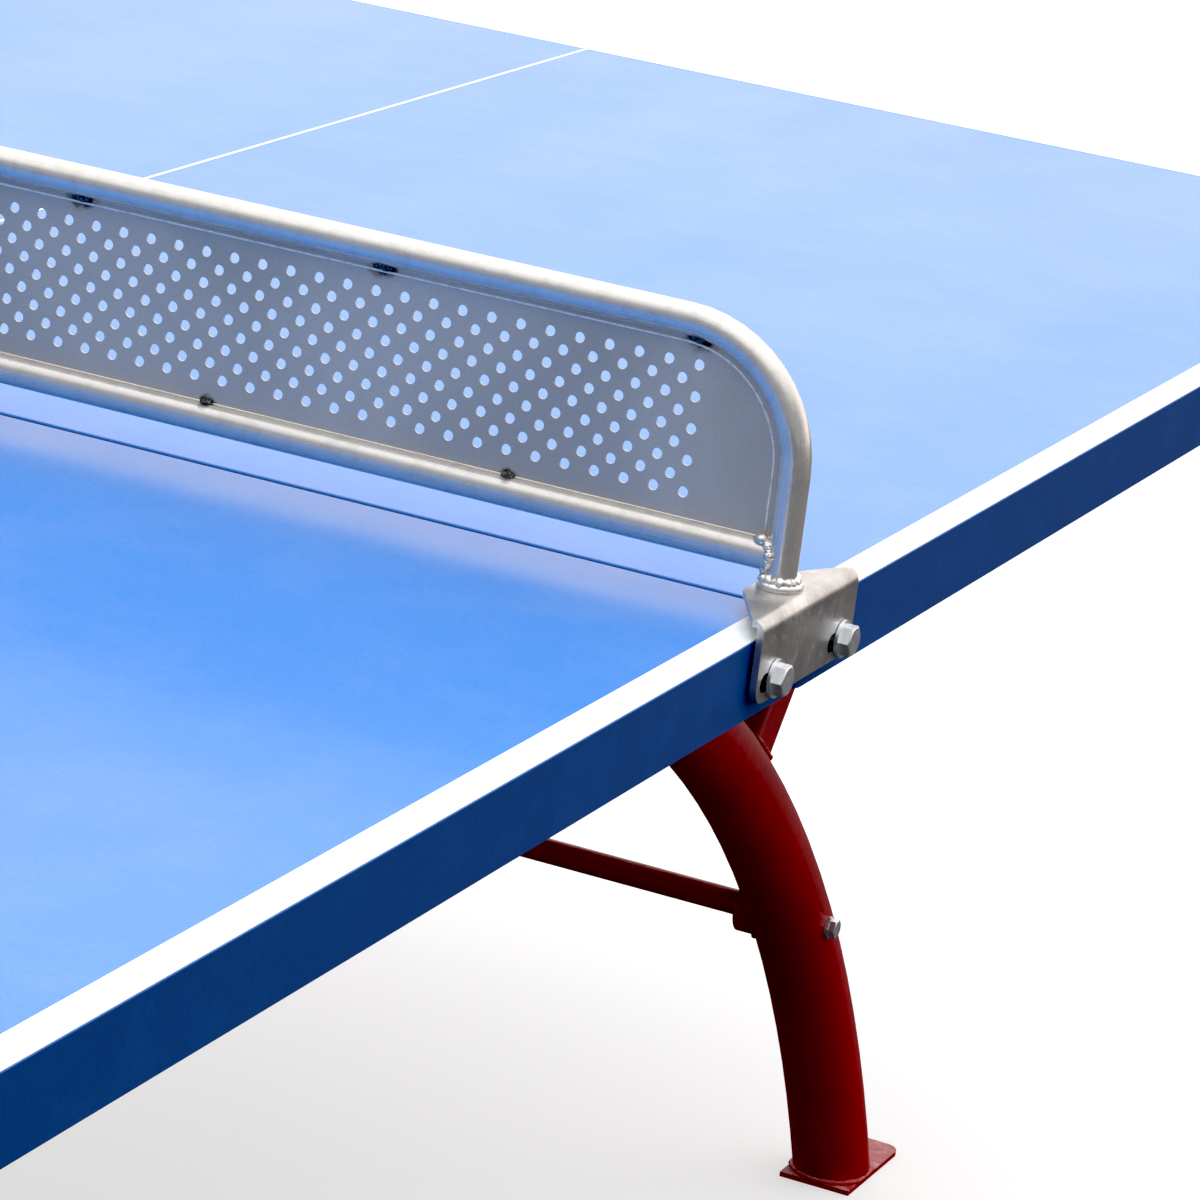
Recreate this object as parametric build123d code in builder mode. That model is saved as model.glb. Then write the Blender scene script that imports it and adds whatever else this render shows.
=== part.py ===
from build123d import *
from math import acos, cos, degrees, radians, sin, tan
import os

# Outdoor table tennis table: two moulded half tops on bolted steel rails, two arched tube legs
# and a welded steel net.  Millimetres.  +X is across the width, +Y along the length, +Z up, and
# the origin is on the ground under the middle of the table.

os.makedirs("parts", exist_ok=True)

# Playing surface
table_length = 2740
table_width = 1525
table_height = 760
apron_depth = 46
joint_gap = 4
wall = 6
corner_radius = 8
edge_radius = 1.5
rib_depth = 20
rib_thickness = 4
half_length = (table_length - joint_gap) / 2
half_middle = (table_length + joint_gap) / 4
apron_face = table_width / 2
underside = table_height - apron_depth
skin_bottom = table_height - wall
rib_bottom = skin_bottom - rib_depth
rib_x = (-600, -360, -120, 120, 360, 600)
rib_y = (230, 458, 686, 914, 1142)
boss_radius = 14

# Steel rails under each half
rail_width = 40
rail_height = rib_bottom - underside
rail_wall = 2
rail_corner = 3
leg_x = 475
rail_start = 14
rail_end = 1330
crossmember_y = (60, 640, 1290)

# Arched legs: each is a piece of a circle whose centre lies below the ground
arch_radius = 1103
arch_centre_z = -461
leg_radius = 30
leg_wall = 3
foot_width = 58
foot_start = 965
foot_end = 1075
foot_thickness = 4
foot_corner = 12

# Struts that stand square to the arch
strut_size = 35
strut_wall = 2.5
strut_corner = 4
strut_turn = 37.3
strut_plate_length = 116
strut_plate_width = 60
strut_plate_thickness = 5
strut_bolt_offset = 42

# Seat on top of each arch, under the joint of the two halves
crown_plate_length = 300
crown_plate_width = 70
crown_plate_thickness = 8
crown_web_length = 180
crown_web_thickness = 6
crown_web_offset = 15
crown_bolt_y = (55, 120)
seat_z = underside - crown_plate_thickness

# Cross bars between the arches, each end on a round saddle that is coped to the leg
bar_radius = 9.5
bar_wall = 1.5
bar_z = 262
saddle_radius = 20
saddle_reach = 9
saddle_face = leg_x - leg_radius - saddle_reach
insert_length = 28

# Fasteners
bolt_radius = 5
clearance_radius = 5.5
head_flats = 16
head_height = 6.4
nut_height = 8
washer_radius = 11
washer_thickness = 2
flange_height = 2
bar_bolt_radius = 4
bar_bolt_clearance = 4.5
bar_bolt_flats = 13
bar_bolt_head = 5.3
bar_bolt_grip = 22
bar_washer_radius = 8
bar_washer_thickness = 1.6
rail_bolt_y = (330, 560, 1090, 1230)
joint_bolt_x = (-660, -240, 240, 660)
apron_bolt_z = 735
bolt_tip_z = 750
bolt_overrun = 3
bolt_tip_chamfer = 1
head_crown_share = 0.95
head_crown_taper = 60

# Net
net_shift = -4
net_tube_radius = 9
net_tube_wall = 1.5
net_post_x = 748
net_top_z = 909
net_corner_radius = 73
net_rail_z = 788.5
panel_thickness = 1.5
panel_gap = 0.5
hole_radius = 3.1
hole_pitch = 18.13
hole_columns = 76
hole_rows = 5
hole_bottom_z = 812.1

# Net brackets
sheet = 4
bracket_width = 136
bracket_bottom_z = 724
bracket_top_z = 772
bend_radius = 3
bracket_inner_x = 764.5
bracket_reach = 735
bracket_nose = 40
bracket_corner = 10
slot_length = 30
slot_width = 11
slot_offset = 48
slip = 0.3


def save(piece, name):
    """Label a finished piece and write it to its own file."""
    piece.part.label = name
    export_step(piece.part, f"parts/{name}.step")


def on_arch(radius, turn):
    """Point in the YZ plane at an angle from the top of the arch circle."""
    return radius * sin(radians(turn)), arch_centre_z + radius * cos(radians(turn))


arch_axis = Axis((0, 0, arch_centre_z), (1, 0, 0))
bar_turn = degrees(acos((bar_z - arch_centre_z) / arch_radius))
bar_y = on_arch(arch_radius, bar_turn)[0]


def leg_rod(x, radius):
    """Solid ring on the line of a leg, for coping the pieces that are welded to it."""
    with BuildPart() as rod:
        with BuildSketch(Plane.XZ):
            with Locations((x, arch_centre_z + arch_radius)):
                Circle(radius)
        revolve(axis=arch_axis)
    return rod.part


strut_top_z = underside - strut_plate_thickness
strut_top_y = (strut_top_z - arch_centre_z) * sin(radians(strut_turn)) / cos(radians(strut_turn))
strut_bolt_y = (strut_top_y - strut_bolt_offset, strut_top_y + strut_bolt_offset)
boss_y = crown_bolt_y + rail_bolt_y + strut_bolt_y

# Half tops: moulded trays with ribs, bosses over the rails and pads behind the net brackets
halves = {"front": -1, "rear": 1}
sides = {"left": -1, "right": 1}

for end, way in halves.items():
    with BuildPart() as half_top:
        with BuildSketch(Plane.XY.offset(underside)) as outline:
            with Locations((0, way * half_middle)):
                Rectangle(table_width, half_length)
            fillet(outline.vertices(), corner_radius)
        extrude(amount=apron_depth)
        fillet(half_top.faces().sort_by(Axis.Z)[-1].edges(), edge_radius)
        with BuildSketch(Plane.XY.offset(underside)) as hollow:
            with Locations((0, way * half_middle)):
                Rectangle(table_width - 2 * wall, half_length - 2 * wall)
        extrude(amount=apron_depth - wall, mode=Mode.SUBTRACT)
        with BuildSketch(Plane.XY.offset(skin_bottom)) as ribs:
            with Locations([(x, way * half_middle) for x in rib_x]):
                Rectangle(rib_thickness, half_length - wall)
            with Locations([(0, way * y) for y in rib_y]):
                Rectangle(table_width - wall, rib_thickness)
            with Locations([(x, way * y) for x in (-leg_x, leg_x) for y in boss_y]):
                Circle(boss_radius)
        extrude(amount=-rib_depth)
        with BuildSketch(Plane.XY.offset(rib_bottom)) as boss_holes:
            with Locations([(x, way * y) for x in (-leg_x, leg_x) for y in boss_y]):
                Circle(bolt_radius)
        extrude(amount=bolt_tip_z - rib_bottom, mode=Mode.SUBTRACT)
        with BuildSketch(Plane.YZ.offset(-apron_face)) as bracket_holes:
            with Locations((way * slot_offset, apron_bolt_z)):
                Circle(clearance_radius)
        extrude(amount=table_width, mode=Mode.SUBTRACT)
        with BuildSketch(Plane.XZ) as joint_holes:
            with Locations([(x, apron_bolt_z) for x in joint_bolt_x]):
                Circle(clearance_radius)
        extrude(amount=-way * (joint_gap + 2 * wall), mode=Mode.SUBTRACT)
    save(half_top, f"{end}_half_top")

# Rails and crossmembers: rectangular steel tube
for end, way in halves.items():
    for side, hand in sides.items():
        with BuildPart() as rail:
            with BuildSketch(Plane.XZ.offset(-way * rail_start)):
                with Locations((hand * leg_x, underside + rail_height / 2)):
                    RectangleRounded(rail_width, rail_height, rail_corner)
                    Rectangle(rail_width - 2 * rail_wall, rail_height - 2 * rail_wall, mode=Mode.SUBTRACT)
            extrude(amount=-way * (rail_end - rail_start))
            with BuildSketch(Plane.XY.offset(underside)):
                with Locations([(hand * leg_x, way * y) for y in boss_y]):
                    Circle(clearance_radius)
            extrude(amount=rail_height, mode=Mode.SUBTRACT)
        save(rail, f"{end}_{side}_rail")
    for place, y in zip(("inner", "middle", "outer"), crossmember_y):
        with BuildPart() as crossmember:
            with BuildSketch(Plane.YZ):
                with Locations((way * y, underside + rail_height / 2)):
                    RectangleRounded(rail_width, rail_height, rail_corner)
                    Rectangle(rail_width - 2 * rail_wall, rail_height - 2 * rail_wall, mode=Mode.SUBTRACT)
            extrude(amount=leg_x - rail_width / 2, both=True)
        save(crossmember, f"{end}_{place}_crossmember")

# Arched legs, their seats, feet, struts and saddles
for side, hand in sides.items():
    x = hand * leg_x
    with BuildPart() as leg_arch:
        with BuildSketch(Plane.XZ):
            with Locations((x, arch_centre_z + arch_radius)):
                Circle(leg_radius)
                Circle(leg_radius - leg_wall, mode=Mode.SUBTRACT)
        revolve(axis=arch_axis)
        split(bisect_by=Plane.XY.offset(foot_thickness), keep=Keep.TOP)
        with BuildSketch(Plane.YZ.offset(x - leg_radius)):
            with Locations((-bar_y, bar_z), (bar_y, bar_z)):
                Circle(bar_bolt_clearance)
        extrude(amount=2 * leg_radius, mode=Mode.SUBTRACT)
    save(leg_arch, f"{side}_leg_arch")

    with BuildPart() as crown_plate:
        with BuildSketch(Plane.XY.offset(underside)):
            with Locations((x, 0)):
                RectangleRounded(crown_plate_width, crown_plate_length, corner_radius)
            with Locations([(x, way * y) for way in (-1, 1) for y in crown_bolt_y]):
                Circle(clearance_radius, mode=Mode.SUBTRACT)
        extrude(amount=-crown_plate_thickness)
    save(crown_plate, f"{side}_crown_plate")

    with BuildPart() as crown_webs:
        with BuildSketch(Plane.XY.offset(seat_z)):
            with Locations((x - crown_web_offset, 0), (x + crown_web_offset, 0)):
                Rectangle(crown_web_thickness, crown_web_length)
        extrude(amount=-(seat_z - arch_centre_z - arch_radius))
        add(leg_rod(x, leg_radius), mode=Mode.SUBTRACT)
    save(crown_webs, f"{side}_crown_webs")

    for end, way in halves.items():
        with BuildPart() as foot:
            with BuildSketch() as foot_outline:
                with Locations((x, way * (foot_start + foot_end) / 2)):
                    Rectangle(foot_width, foot_end - foot_start)
                outer_corners = foot_outline.vertices().sort_by(Axis.Y)
                fillet(outer_corners[-2:] if way > 0 else outer_corners[:2], foot_corner)
            extrude(amount=foot_thickness)
        save(foot, f"{end}_{side}_foot")

        with BuildPart() as strut:
            start_y, start_z = on_arch(arch_radius, strut_turn)
            direction = (0, way * sin(radians(strut_turn)), cos(radians(strut_turn)))
            with BuildSketch(Plane(origin=(x, way * start_y, start_z), x_dir=(1, 0, 0), z_dir=direction)):
                RectangleRounded(strut_size, strut_size, strut_corner)
                Rectangle(strut_size - 2 * strut_wall, strut_size - 2 * strut_wall, mode=Mode.SUBTRACT)
            extrude(amount=strut_top_z)
            split(bisect_by=Plane.XY.offset(strut_top_z), keep=Keep.BOTTOM)
            add(leg_rod(x, leg_radius), mode=Mode.SUBTRACT)
        save(strut, f"{end}_{side}_strut")

        with BuildPart() as strut_plate:
            with BuildSketch(Plane.XY.offset(strut_top_z)):
                with Locations((x, way * strut_top_y)):
                    RectangleRounded(strut_plate_width, strut_plate_length, corner_radius)
                with Locations([(x, way * y) for y in strut_bolt_y]):
                    Circle(clearance_radius, mode=Mode.SUBTRACT)
            extrude(amount=strut_plate_thickness)
        save(strut_plate, f"{end}_{side}_strut_plate")

        with BuildPart() as saddle:
            with BuildSketch(Plane.YZ.offset(hand * saddle_face)):
                with Locations((way * bar_y, bar_z)):
                    Circle(saddle_radius)
                    Circle(bar_bolt_clearance, mode=Mode.SUBTRACT)
            extrude(amount=hand * (leg_x - saddle_face))
            add(leg_rod(x, leg_radius), mode=Mode.SUBTRACT)
        save(saddle, f"{end}_{side}_bar_saddle")

# Cross bars
for end, way in halves.items():
    with BuildPart() as cross_bar:
        with BuildSketch(Plane.YZ):
            with Locations((way * bar_y, bar_z)):
                Circle(bar_radius)
                Circle(bar_radius - bar_wall, mode=Mode.SUBTRACT)
        extrude(amount=saddle_face, both=True)
    save(cross_bar, f"{end}_cross_bar")

with BuildPart() as inserts:
    for hand in sides.values():
        with BuildSketch(Plane.YZ.offset(hand * (saddle_face - insert_length))):
            with Locations((-bar_y, bar_z), (bar_y, bar_z)):
                Circle(bar_radius - bar_wall)
                Circle(bar_bolt_radius, mode=Mode.SUBTRACT)
        extrude(amount=hand * insert_length)
save(inserts, "cross_bar_inserts")


# Fasteners: each kind is one group of separate solids
def hex_bolt(length, flanged=False, radius=bolt_radius, flats=head_flats, height=head_height):
    """Hexagon bolt along +Z, with the underside of its head at the origin."""
    with BuildPart() as bolt:
        with BuildSketch():
            RegularPolygon(flats / 2, 6, major_radius=False)
        extrude(amount=-height)
        with BuildSketch():
            Circle(head_crown_share * flats / 2 + height * tan(radians(head_crown_taper)))
        extrude(amount=-height, taper=head_crown_taper, mode=Mode.INTERSECT)
        if flanged:
            with BuildSketch():
                Circle(washer_radius)
            extrude(amount=-flange_height)
        with BuildSketch():
            Circle(radius)
        extrude(amount=length)
        chamfer(bolt.edges().filter_by(GeomType.CIRCLE).sort_by(Axis.Z)[-1], bolt_tip_chamfer)
    return bolt.part


def ring(inner, outer, thickness):
    """Washer or spacer along +Z from the origin."""
    with BuildPart() as washer:
        with BuildSketch():
            Circle(outer)
            Circle(inner, mode=Mode.SUBTRACT)
        extrude(amount=thickness)
    return washer.part


def hex_nut():
    """Hexagon nut along +Z from the origin."""
    with BuildPart() as nut:
        with BuildSketch():
            RegularPolygon(head_flats / 2, 6, major_radius=False)
            Circle(bolt_radius, mode=Mode.SUBTRACT)
        extrude(amount=nut_height)
    return nut.part


def group(name, piece, planes):
    """One node that holds a copy of the piece on every plane."""
    with BuildPart() as copies:
        with Locations(*planes):
            add(piece)
    save(copies, name)


def upward(y_places, z):
    """Planes under the rails, facing up, at these distances from the middle of the table."""
    return [
        Plane(origin=(hand * leg_x, way * y, z), z_dir=(0, 0, 1))
        for hand in sides.values()
        for way in halves.values()
        for y in y_places
    ]


for name, y_places, z in (
    ("rail_bolts", rail_bolt_y, underside),
    ("strut_plate_bolts", strut_bolt_y, strut_top_z),
    ("crown_bolts", crown_bolt_y, seat_z),
):
    group(name, hex_bolt(bolt_tip_z - z, flanged=True), upward(y_places, z))


def outward(x, ends, z):
    """Planes on both sides of the table, facing its middle, at a distance x from it."""
    return [
        Plane(origin=(hand * x, way * ends, z), x_dir=(0, 1, 0), z_dir=(-hand, 0, 0))
        for hand in sides.values()
        for way in halves.values()
    ]


spacer_thickness = bracket_inner_x - apron_face - slip
washer_x = bracket_inner_x + sheet + slip + washer_thickness
nut_x = apron_face - wall
group("net_bracket_spacers", ring(bolt_radius, washer_radius, spacer_thickness),
      outward(apron_face + spacer_thickness, slot_offset, apron_bolt_z))
group("net_bracket_washers", ring(bolt_radius, washer_radius, washer_thickness),
      outward(washer_x, slot_offset, apron_bolt_z))
bracket_bolt = hex_bolt(washer_x - nut_x + nut_height + bolt_overrun)
group("net_bracket_bolts", bracket_bolt, outward(washer_x, slot_offset, apron_bolt_z))
group("net_bracket_nuts", hex_nut(), outward(nut_x, slot_offset, apron_bolt_z))

bar_washer_x = leg_x + leg_radius + bar_washer_thickness
with BuildPart() as bar_washers:
    with Locations(*outward(bar_washer_x, bar_y, bar_z)):
        add(ring(bar_bolt_radius, bar_washer_radius, 2 * bar_washer_thickness))
    for hand in sides.values():
        add(leg_rod(hand * leg_x, leg_radius), mode=Mode.SUBTRACT)
save(bar_washers, "cross_bar_washers")
bar_bolt = hex_bolt(bar_washer_x - saddle_face + bar_bolt_grip, radius=bar_bolt_radius,
                    flats=bar_bolt_flats, height=bar_bolt_head)
group("cross_bar_bolts", bar_bolt, outward(bar_washer_x, bar_y, bar_z))


def through_joint(y):
    """Planes on the joint between the halves, facing the rear."""
    return [Plane(origin=(x, y, apron_bolt_z), x_dir=(1, 0, 0), z_dir=(0, 1, 0)) for x in joint_bolt_x]


joint_face = joint_gap / 2 + wall
joint_bolt = hex_bolt(2 * joint_face + nut_height + bolt_overrun)
group("joint_bolts", joint_bolt, through_joint(-joint_face))
group("joint_nuts", hex_nut(), through_joint(joint_face))
group("joint_spacers", ring(bolt_radius, washer_radius, joint_gap), through_joint(-joint_gap / 2))

# Net: bent frame tube, bottom rail and perforated sheet, standing on two brackets
net_plane = Plane.XZ.offset(-net_shift)


def net_rod(radius):
    """Solid bar along the frame tube of the net."""
    corners = [(-net_post_x, bracket_top_z), (-net_post_x, net_top_z),
               (net_post_x, net_top_z), (net_post_x, bracket_top_z)]
    with BuildPart() as rod:
        with BuildLine(net_plane) as path:
            FilletPolyline(*corners, radius=net_corner_radius)
        with BuildSketch(Plane(origin=(-net_post_x, net_shift, bracket_top_z), z_dir=(0, 0, 1))):
            Circle(radius)
        sweep(path=path.line)
    return rod.part


with BuildPart() as net_frame_tube:
    add(net_rod(net_tube_radius))
    add(net_rod(net_tube_radius - net_tube_wall), mode=Mode.SUBTRACT)
save(net_frame_tube, "net_frame_tube")

with BuildPart() as net_bottom_rail:
    with BuildSketch(Plane.YZ):
        with Locations((net_shift, net_rail_z)):
            Circle(net_tube_radius)
            Circle(net_tube_radius - net_tube_wall, mode=Mode.SUBTRACT)
    extrude(amount=net_post_x, both=True)
    add(net_rod(net_tube_radius), mode=Mode.SUBTRACT)
save(net_bottom_rail, "net_bottom_rail")

panel_bottom = net_rail_z + net_tube_radius + panel_gap
panel_top = net_top_z - net_tube_radius - panel_gap
panel_half = net_post_x - net_tube_radius - panel_gap


def hole_edges():
    """Outlines of the holes: columns of five and of four, half a pitch apart."""
    columns = 2 * hole_columns
    for column in range(columns):
        short = column % 2 == 0
        x = (column - (columns - 1) / 2) * hole_pitch / 2
        for row in range(hole_rows - short):
            z = hole_bottom_z + (row + short / 2) * hole_pitch
            centre = Plane(origin=(x, net_shift, z), x_dir=(1, 0, 0), z_dir=(0, -1, 0))
            yield Wire.make_circle(hole_radius, centre)


with BuildPart() as net_panel:
    with BuildSketch(net_plane, mode=Mode.PRIVATE) as sheet_outline:
        with Locations((0, (panel_bottom + panel_top) / 2)):
            Rectangle(2 * panel_half, panel_top - panel_bottom)
        upper_corners = sheet_outline.vertices().sort_by(Axis.Y)[-2:]
        fillet(upper_corners, net_corner_radius - net_tube_radius - panel_gap)
    perforated = Face(sheet_outline.sketch.face().outer_wire(), list(hole_edges()))
    extrude(perforated, amount=panel_thickness / 2, both=True)
save(net_panel, "net_panel")

# Brackets: sheet bent over the edge of the table, slotted so that the net can be lined up
flank_x = bracket_inner_x - bend_radius
for side, hand in sides.items():
    outer_x = bracket_inner_x + sheet
    profile = [(bracket_reach, bracket_top_z), (outer_x, bracket_top_z), (outer_x, bracket_bottom_z),
               (bracket_inner_x, bracket_bottom_z), (bracket_inner_x, bracket_top_z - sheet),
               (bracket_reach, bracket_top_z - sheet)]
    with BuildPart() as bracket:
        with BuildSketch(net_plane) as bend:
            with BuildLine():
                Polyline([(hand * x, z) for x, z in profile], close=True)
            make_face()
            by_reach = bend.vertices().sort_by(lambda corner: corner.X * hand)
            upper_outer = max(by_reach[-2:], key=lambda corner: corner.Y)
            upper_inner = max(by_reach[2:4], key=lambda corner: corner.Y)
            fillet(upper_outer, bend_radius + sheet)
            fillet(upper_inner, bend_radius)
        extrude(amount=bracket_width / 2, both=True)
        for way in halves.values():
            flank = [(hand * bracket_reach, net_shift + way * bracket_nose / 2),
                     (hand * flank_x, net_shift + way * bracket_width / 2),
                     (hand * bracket_reach, net_shift + way * bracket_width / 2)]
            with BuildSketch(Plane.XY.offset(bracket_top_z)):
                with BuildLine():
                    Polyline(flank, close=True)
                make_face()
            extrude(amount=-sheet, mode=Mode.SUBTRACT)
        fillet(bracket.edges().filter_by(Axis.X).group_by(Axis.Z)[0], bracket_corner)
        with BuildSketch(Plane.YZ.offset(hand * bracket_inner_x)):
            with Locations([(net_shift + way * slot_offset, apron_bolt_z) for way in halves.values()]):
                SlotOverall(slot_length, slot_width)
        extrude(amount=hand * sheet, mode=Mode.SUBTRACT)
    save(bracket, f"{side}_net_bracket")
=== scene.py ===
from math import cos, pi, radians, sin, sqrt

import bmesh
import bpy
from mathutils import Matrix, Vector, noise


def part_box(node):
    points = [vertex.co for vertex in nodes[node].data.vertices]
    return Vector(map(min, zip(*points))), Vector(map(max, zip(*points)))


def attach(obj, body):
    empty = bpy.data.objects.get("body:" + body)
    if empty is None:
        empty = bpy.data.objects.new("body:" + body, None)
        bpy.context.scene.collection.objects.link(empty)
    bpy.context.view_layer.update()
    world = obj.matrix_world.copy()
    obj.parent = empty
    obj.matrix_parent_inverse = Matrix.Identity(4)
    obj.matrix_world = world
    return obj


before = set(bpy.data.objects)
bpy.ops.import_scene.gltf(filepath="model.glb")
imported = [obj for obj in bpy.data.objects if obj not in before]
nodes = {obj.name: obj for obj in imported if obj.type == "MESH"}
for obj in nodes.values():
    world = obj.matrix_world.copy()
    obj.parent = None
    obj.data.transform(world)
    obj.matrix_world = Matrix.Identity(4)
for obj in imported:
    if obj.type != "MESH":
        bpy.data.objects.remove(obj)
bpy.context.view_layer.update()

mm = 0.001
print("frame loaded:", len(nodes), "nodes")

# Outdoor table tennis table, +X across, +Y along, +Z up, metres.
# Places come from the frame; the few lengths below are the ones that the frame can't tell.
table = {
    "legTube": 30 * mm,          # radius of the arched legs
    "archRadius": 1103 * mm,     # centre line of a leg
    "archCentre": -461 * mm,     # height of the arch circle's centre
    "strutTurn": radians(37.3),  # lean of the struts from upright
    "strutSize": 35 * mm,
    "barTube": 9.5 * mm,
    "netTube": 9 * mm,
    "netCorner": 73 * mm,        # bend of the net tube, on its centre line
    "edgeRound": 1.5 * mm,       # rounded upper edge of the tops
}
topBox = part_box("front_half_top")
topZ = topBox[1][2]
halfWidth = topBox[1][0]
halfLength = -topBox[0][1]
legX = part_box("right_leg_arch")[1][0] - table["legTube"]
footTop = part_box("front_left_foot")[1][2]
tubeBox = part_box("net_frame_tube")
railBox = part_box("net_bottom_rail")
postX = tubeBox[1][0] - table["netTube"]
netTopZ = tubeBox[1][2] - table["netTube"]
netRailZ = (railBox[0][2] + railBox[1][2]) / 2
netY = (tubeBox[0][1] + tubeBox[1][1]) / 2
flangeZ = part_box("right_net_bracket")[1][2]


def addNode(tree, kind, inputs=None, **settings):
    node = tree.nodes.new(kind)
    for key, value in settings.items():
        setattr(node, key, value)
    for key, value in (inputs or {}).items():
        if isinstance(value, bpy.types.NodeSocket):
            tree.links.new(value, node.inputs[key])
        else:
            node.inputs[key].default_value = value
    return node


def math(tree, operation, first, second=0.0, clamp=False):
    node = addNode(tree, "ShaderNodeMath", {0: first, 1: second}, operation=operation, use_clamp=clamp)
    return node.outputs[0]


def mapRange(tree, value, low, high, toLow=0.0, toHigh=1.0, smooth=True):
    node = addNode(tree, "ShaderNodeMapRange", {"Value": value, 1: low, 2: high, 3: toLow, 4: toHigh})
    if smooth:
        node.interpolation_type = "SMOOTHSTEP"
    return node.outputs[0]


def mixColour(tree, factor, first, second, blend="MIX"):
    node = addNode(tree, "ShaderNodeMix", {0: factor, 6: first, 7: second},
                   data_type="RGBA", blend_type=blend)
    return node.outputs[2]


def objectPlace(tree, stretch=(1, 1, 1)):
    place = addNode(tree, "ShaderNodeTexCoord").outputs["Object"]
    return addNode(tree, "ShaderNodeMapping", {"Vector": place, "Scale": stretch}).outputs[0]


def noiseValue(tree, vector, scale, detail=3.0, rough=0.55, warp=0.0):
    values = {"Vector": vector, "Scale": scale, "Detail": detail, "Roughness": rough, "Distortion": warp}
    return addNode(tree, "ShaderNodeTexNoise", values).outputs[0]


def newGroup(name, inputs, outputs):
    group = bpy.data.node_groups.new(name, "ShaderNodeTree")
    for key, value in inputs.items():
        kind = "NodeSocketVector" if isinstance(value, tuple) else "NodeSocketFloat"
        group.interface.new_socket(key, in_out="INPUT", socket_type=kind).default_value = value
    for key in outputs:
        group.interface.new_socket(key, in_out="OUTPUT", socket_type="NodeSocketFloat")
    return group, group.nodes.new("NodeGroupInput"), group.nodes.new("NodeGroupOutput")


def useGroup(tree, group, **inputs):
    node = addNode(tree, "ShaderNodeGroup", node_tree=group)
    for key, value in inputs.items():
        if isinstance(value, bpy.types.NodeSocket):
            tree.links.new(value, node.inputs[key])
        else:
            node.inputs[key].default_value = value
    return node.outputs


def newMaterial(name, **constants):
    material = bpy.data.materials.new(name)
    material.use_nodes = True
    tree = material.node_tree
    tree.nodes.clear()
    shader = addNode(tree, "ShaderNodeBsdfPrincipled")
    output = addNode(tree, "ShaderNodeOutputMaterial")
    tree.links.new(shader.outputs[0], output.inputs["Surface"])
    for key, value in constants.items():
        shader.inputs[key].default_value = value
    return material, tree, shader


def plug(tree, shader, **sources):
    sockets = {"colour": "Base Color", "rough": "Roughness", "metal": "Metallic",
               "coat": "Coat Weight", "normal": "Normal"}
    for key, source in sources.items():
        tree.links.new(source, shader.inputs[sockets[key]])


def bumpNormal(tree, height, distance, strength=1.0):
    return addNode(tree, "ShaderNodeBump",
                   {"Height": height, "Distance": distance, "Strength": strength}).outputs[0]


def buildSpeckle():
    # fine two-size grain of a moulded or powder-coated skin
    group, start, end = newGroup("speckle", {"Scale": 900.0, "Contrast": 1.0}, ["Tone", "Height"])
    place = objectPlace(group)
    fine = noiseValue(group, place, start.outputs["Scale"], 2.0)
    coarse = noiseValue(group, place, math(group, "MULTIPLY", start.outputs["Scale"], 0.31), 2.0)
    both = math(group, "ADD", math(group, "MULTIPLY", fine, 0.6), math(group, "MULTIPLY", coarse, 0.4))
    centred = math(group, "MULTIPLY", math(group, "SUBTRACT", both, 0.5), start.outputs["Contrast"])
    group.links.new(math(group, "ADD", centred, 1.0), end.inputs["Tone"])
    group.links.new(both, end.inputs["Height"])
    return group


def buildBrushing():
    # long fine scratches along one direction, set by the stretch
    group, start, end = newGroup("brushing", {"Stretch": (4.0, 700.0, 700.0)}, ["Tone", "Height"])
    place = addNode(group, "ShaderNodeTexCoord").outputs["Object"]
    pulled = addNode(group, "ShaderNodeVectorMath", {0: place, 1: start.outputs["Stretch"]},
                     operation="MULTIPLY").outputs[0]
    lines = noiseValue(group, pulled, 1.0, 4.0, 0.7)
    group.links.new(mapRange(group, lines, 0.3, 0.7, smooth=False), end.inputs["Tone"])
    group.links.new(lines, end.inputs["Height"])
    return group


def buildMottle():
    # slow cloudy change over a surface, and smaller blotches on it
    group, start, end = newGroup("mottle", {"Scale": 4.0}, ["Cloud", "Blotch"])
    place = objectPlace(group)
    cloud = noiseValue(group, place, start.outputs["Scale"], 3.0, 0.5, 0.4)
    blotch = noiseValue(group, place, math(group, "MULTIPLY", start.outputs["Scale"], 9.0), 4.0, 0.6, 0.8)
    group.links.new(mapRange(group, cloud, 0.3, 0.7), end.inputs["Cloud"])
    group.links.new(mapRange(group, blotch, 0.45, 0.7), end.inputs["Blotch"])
    return group


def buildUpFacingPatches():
    # patches on faces looking up: dust on most finishes, and on the red paint also a painted sheen and a
    # painted glare
    group, start, end = newGroup("upFacingPatches", {"Amount": 0.5, "Scale": 30.0}, ["Mask"])
    facing = addNode(group, "ShaderNodeSeparateXYZ",
                     {0: addNode(group, "ShaderNodeNewGeometry").outputs["Normal"]}).outputs[2]
    patches = noiseValue(group, objectPlace(group), start.outputs["Scale"], 5.0, 0.65)
    mask = math(group, "MULTIPLY", mapRange(group, facing, 0.3, 1.0), mapRange(group, patches, 0.35, 0.75))
    group.links.new(math(group, "MULTIPLY", mask, start.outputs["Amount"]), end.inputs["Mask"])
    return group


def buildWornEdges():
    # where a rounded-off copy of the surface turns away from the real one there is an edge
    group, start, end = newGroup("wornEdges", {"Reach": 0.0012, "Broken": 90.0}, ["Mask"])
    rounded = addNode(group, "ShaderNodeBevel", {"Radius": start.outputs["Reach"]}, samples=4).outputs[0]
    real = addNode(group, "ShaderNodeNewGeometry").outputs["Normal"]
    alike = addNode(group, "ShaderNodeVectorMath", {0: rounded, 1: real},
                    operation="DOT_PRODUCT").outputs["Value"]
    turned = mapRange(group, alike, 0.995, 0.90)
    broken = mapRange(group, noiseValue(group, objectPlace(group), start.outputs["Broken"], 5.0, 0.7),
                      0.4, 0.6)
    group.links.new(math(group, "MULTIPLY", turned, broken), end.inputs["Mask"])
    return group


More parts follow.
